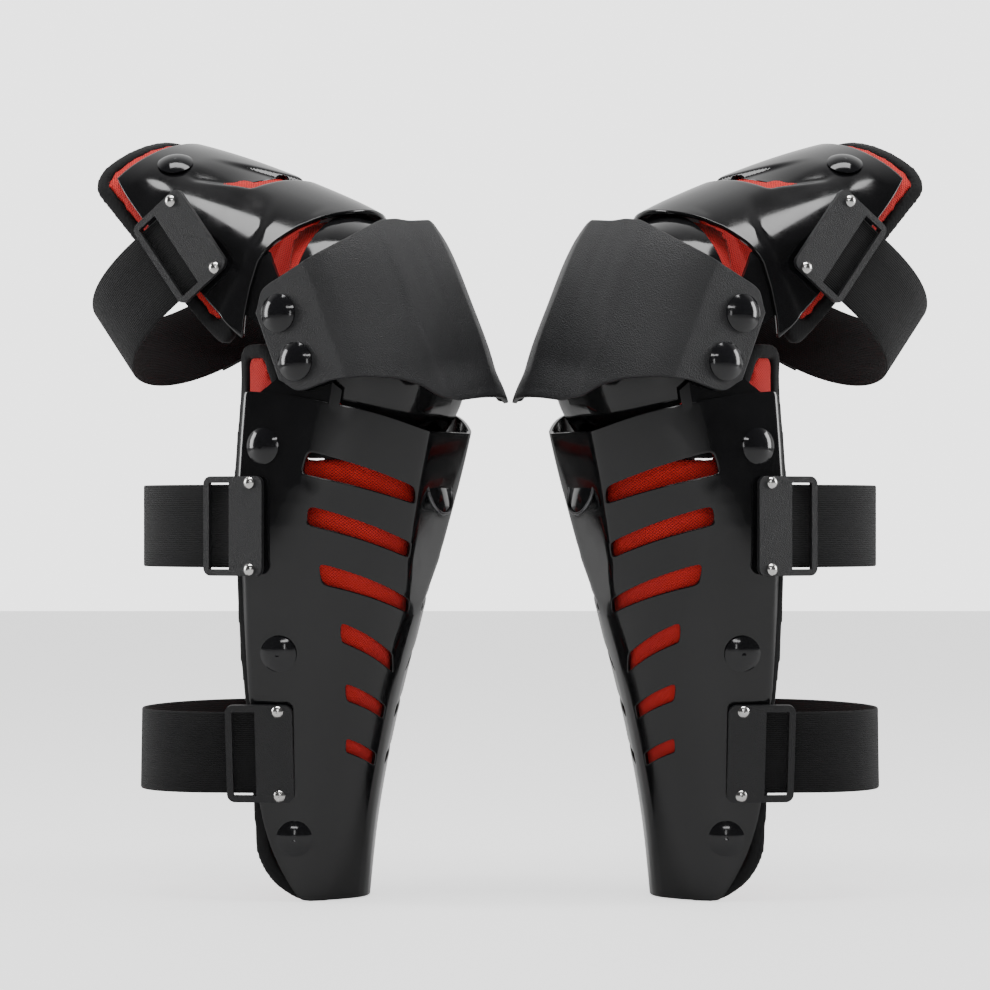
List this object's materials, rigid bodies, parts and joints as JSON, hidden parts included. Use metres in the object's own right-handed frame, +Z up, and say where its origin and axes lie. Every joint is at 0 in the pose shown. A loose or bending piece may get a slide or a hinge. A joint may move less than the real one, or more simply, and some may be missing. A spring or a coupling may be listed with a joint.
{
  "type": "motorcycle knee and shin guards",
  "caption": "Pair of hinged knee and shin guards: vented gloss shells, textured knee caps on side pivots, mesh liners and elastic straps.",
  "frame": {"origin": "midway between the two guards, on the level of the shin shells' lower edges", "axes": "+X towards the wearer's left as worn here with the guards toed apart, +Y behind the guards, +Z up the shins"},
  "size_m": [0.5236, 0.212, 0.4716],
  "materials": {
    "gloss_shell": "black, high gloss injection moulding",
    "gloss_plate": "black, gloss",
    "matte_cap": "black, fine spark-eroded grain, semi matte",
    "matte_buckle": "black, satin",
    "black_rivet": "black, satin dome",
    "bright_rivet": "bright nickel",
    "badge": "dark satin disc with a pale ring, no lettering",
    "red_mesh_pad": "red open knit over foam",
    "edge_tape": "black folded edge tape",
    "elastic_webbing": "black ribbed elastic",
    "hook_patch": "black hook and loop",
    "washer_plastic": "black, smooth",
    "washer_steel": "plain steel"
  },
  "bodies": {
    "right_shin": {"right_shin_shell": "gloss_shell", "right_shin_badge": "badge", "right_shin_liner": "red_mesh_pad", "right_shin_binding": "edge_tape", "right_shin_links": "gloss_plate", "right_shin_snap_rivets": "black_rivet", "right_shin_buckles": "matte_buckle", "right_shin_buckle_rivets": "bright_rivet", "right_shin_upper_strap": "elastic_webbing", "right_shin_lower_strap": "elastic_webbing", "right_shin_strap_patches": "hook_patch"},
    "right_knee": {"right_knee_cap": "matte_cap", "right_knee_cup": "gloss_plate", "right_knee_liner": "red_mesh_pad", "right_upper_pivot_pins": "black_rivet", "right_lower_pivot_pins": "black_rivet", "right_pivot_spacers": "washer_plastic", "right_pivot_washers": "washer_steel"},
    "right_thigh": {"right_thigh_shell": "gloss_shell", "right_thigh_links": "gloss_plate", "right_thigh_liner": "red_mesh_pad", "right_thigh_binding": "edge_tape", "right_thigh_snap_rivets": "black_rivet", "right_thigh_buckles": "matte_buckle", "right_thigh_buckle_rivets": "bright_rivet", "right_thigh_strap": "elastic_webbing", "right_thigh_strap_patch": "hook_patch"},
    "left_shin": {"left_shin_shell": "gloss_shell", "left_shin_badge": "badge", "left_shin_liner": "red_mesh_pad", "left_shin_binding": "edge_tape", "left_shin_links": "gloss_plate", "left_shin_snap_rivets": "black_rivet", "left_shin_buckles": "matte_buckle", "left_shin_buckle_rivets": "bright_rivet", "left_shin_upper_strap": "elastic_webbing", "left_shin_lower_strap": "elastic_webbing", "left_shin_strap_patches": "hook_patch"},
    "left_knee": {"left_knee_cap": "matte_cap", "left_knee_cup": "gloss_plate", "left_knee_liner": "red_mesh_pad", "left_upper_pivot_pins": "black_rivet", "left_lower_pivot_pins": "black_rivet", "left_pivot_spacers": "washer_plastic", "left_pivot_washers": "washer_steel"},
    "left_thigh": {"left_thigh_shell": "gloss_shell", "left_thigh_links": "gloss_plate", "left_thigh_liner": "red_mesh_pad", "left_thigh_binding": "edge_tape", "left_thigh_snap_rivets": "black_rivet", "left_thigh_buckles": "matte_buckle", "left_thigh_buckle_rivets": "bright_rivet", "left_thigh_strap": "elastic_webbing", "left_thigh_strap_patch": "hook_patch"}
  },
  "joints": [
    {"name": "right_lower_knee_hinge", "type": "hinge", "parent": "right_shin", "child": "right_knee", "pos_m": [-0.09388, -0.00567, 0.32594], "axis": [-0.454, -0.891, 0], "range_deg": [-30, 15]},
    {"name": "right_upper_knee_hinge", "type": "hinge", "parent": "right_knee", "child": "right_thigh", "pos_m": [-0.10436, -0.00033, 0.35506], "axis": [-0.454, -0.891, 0], "range_deg": [-30, 15]},
    {"name": "left_lower_knee_hinge", "type": "hinge", "parent": "left_shin", "child": "left_knee", "pos_m": [0.09388, -0.00567, 0.32594], "axis": [-0.454, 0.891, 0], "range_deg": [-30, 15]},
    {"name": "left_upper_knee_hinge", "type": "hinge", "parent": "left_knee", "child": "left_thigh", "pos_m": [0.10436, -0.00033, 0.35506], "axis": [-0.454, 0.891, 0], "range_deg": [-30, 15]},
    {"name": "left_guard_apart", "type": "slide", "parent": "right_shin", "child": "left_shin", "axis": [1, 0, 0], "range_m": [0, 0.2]}
  ]
}
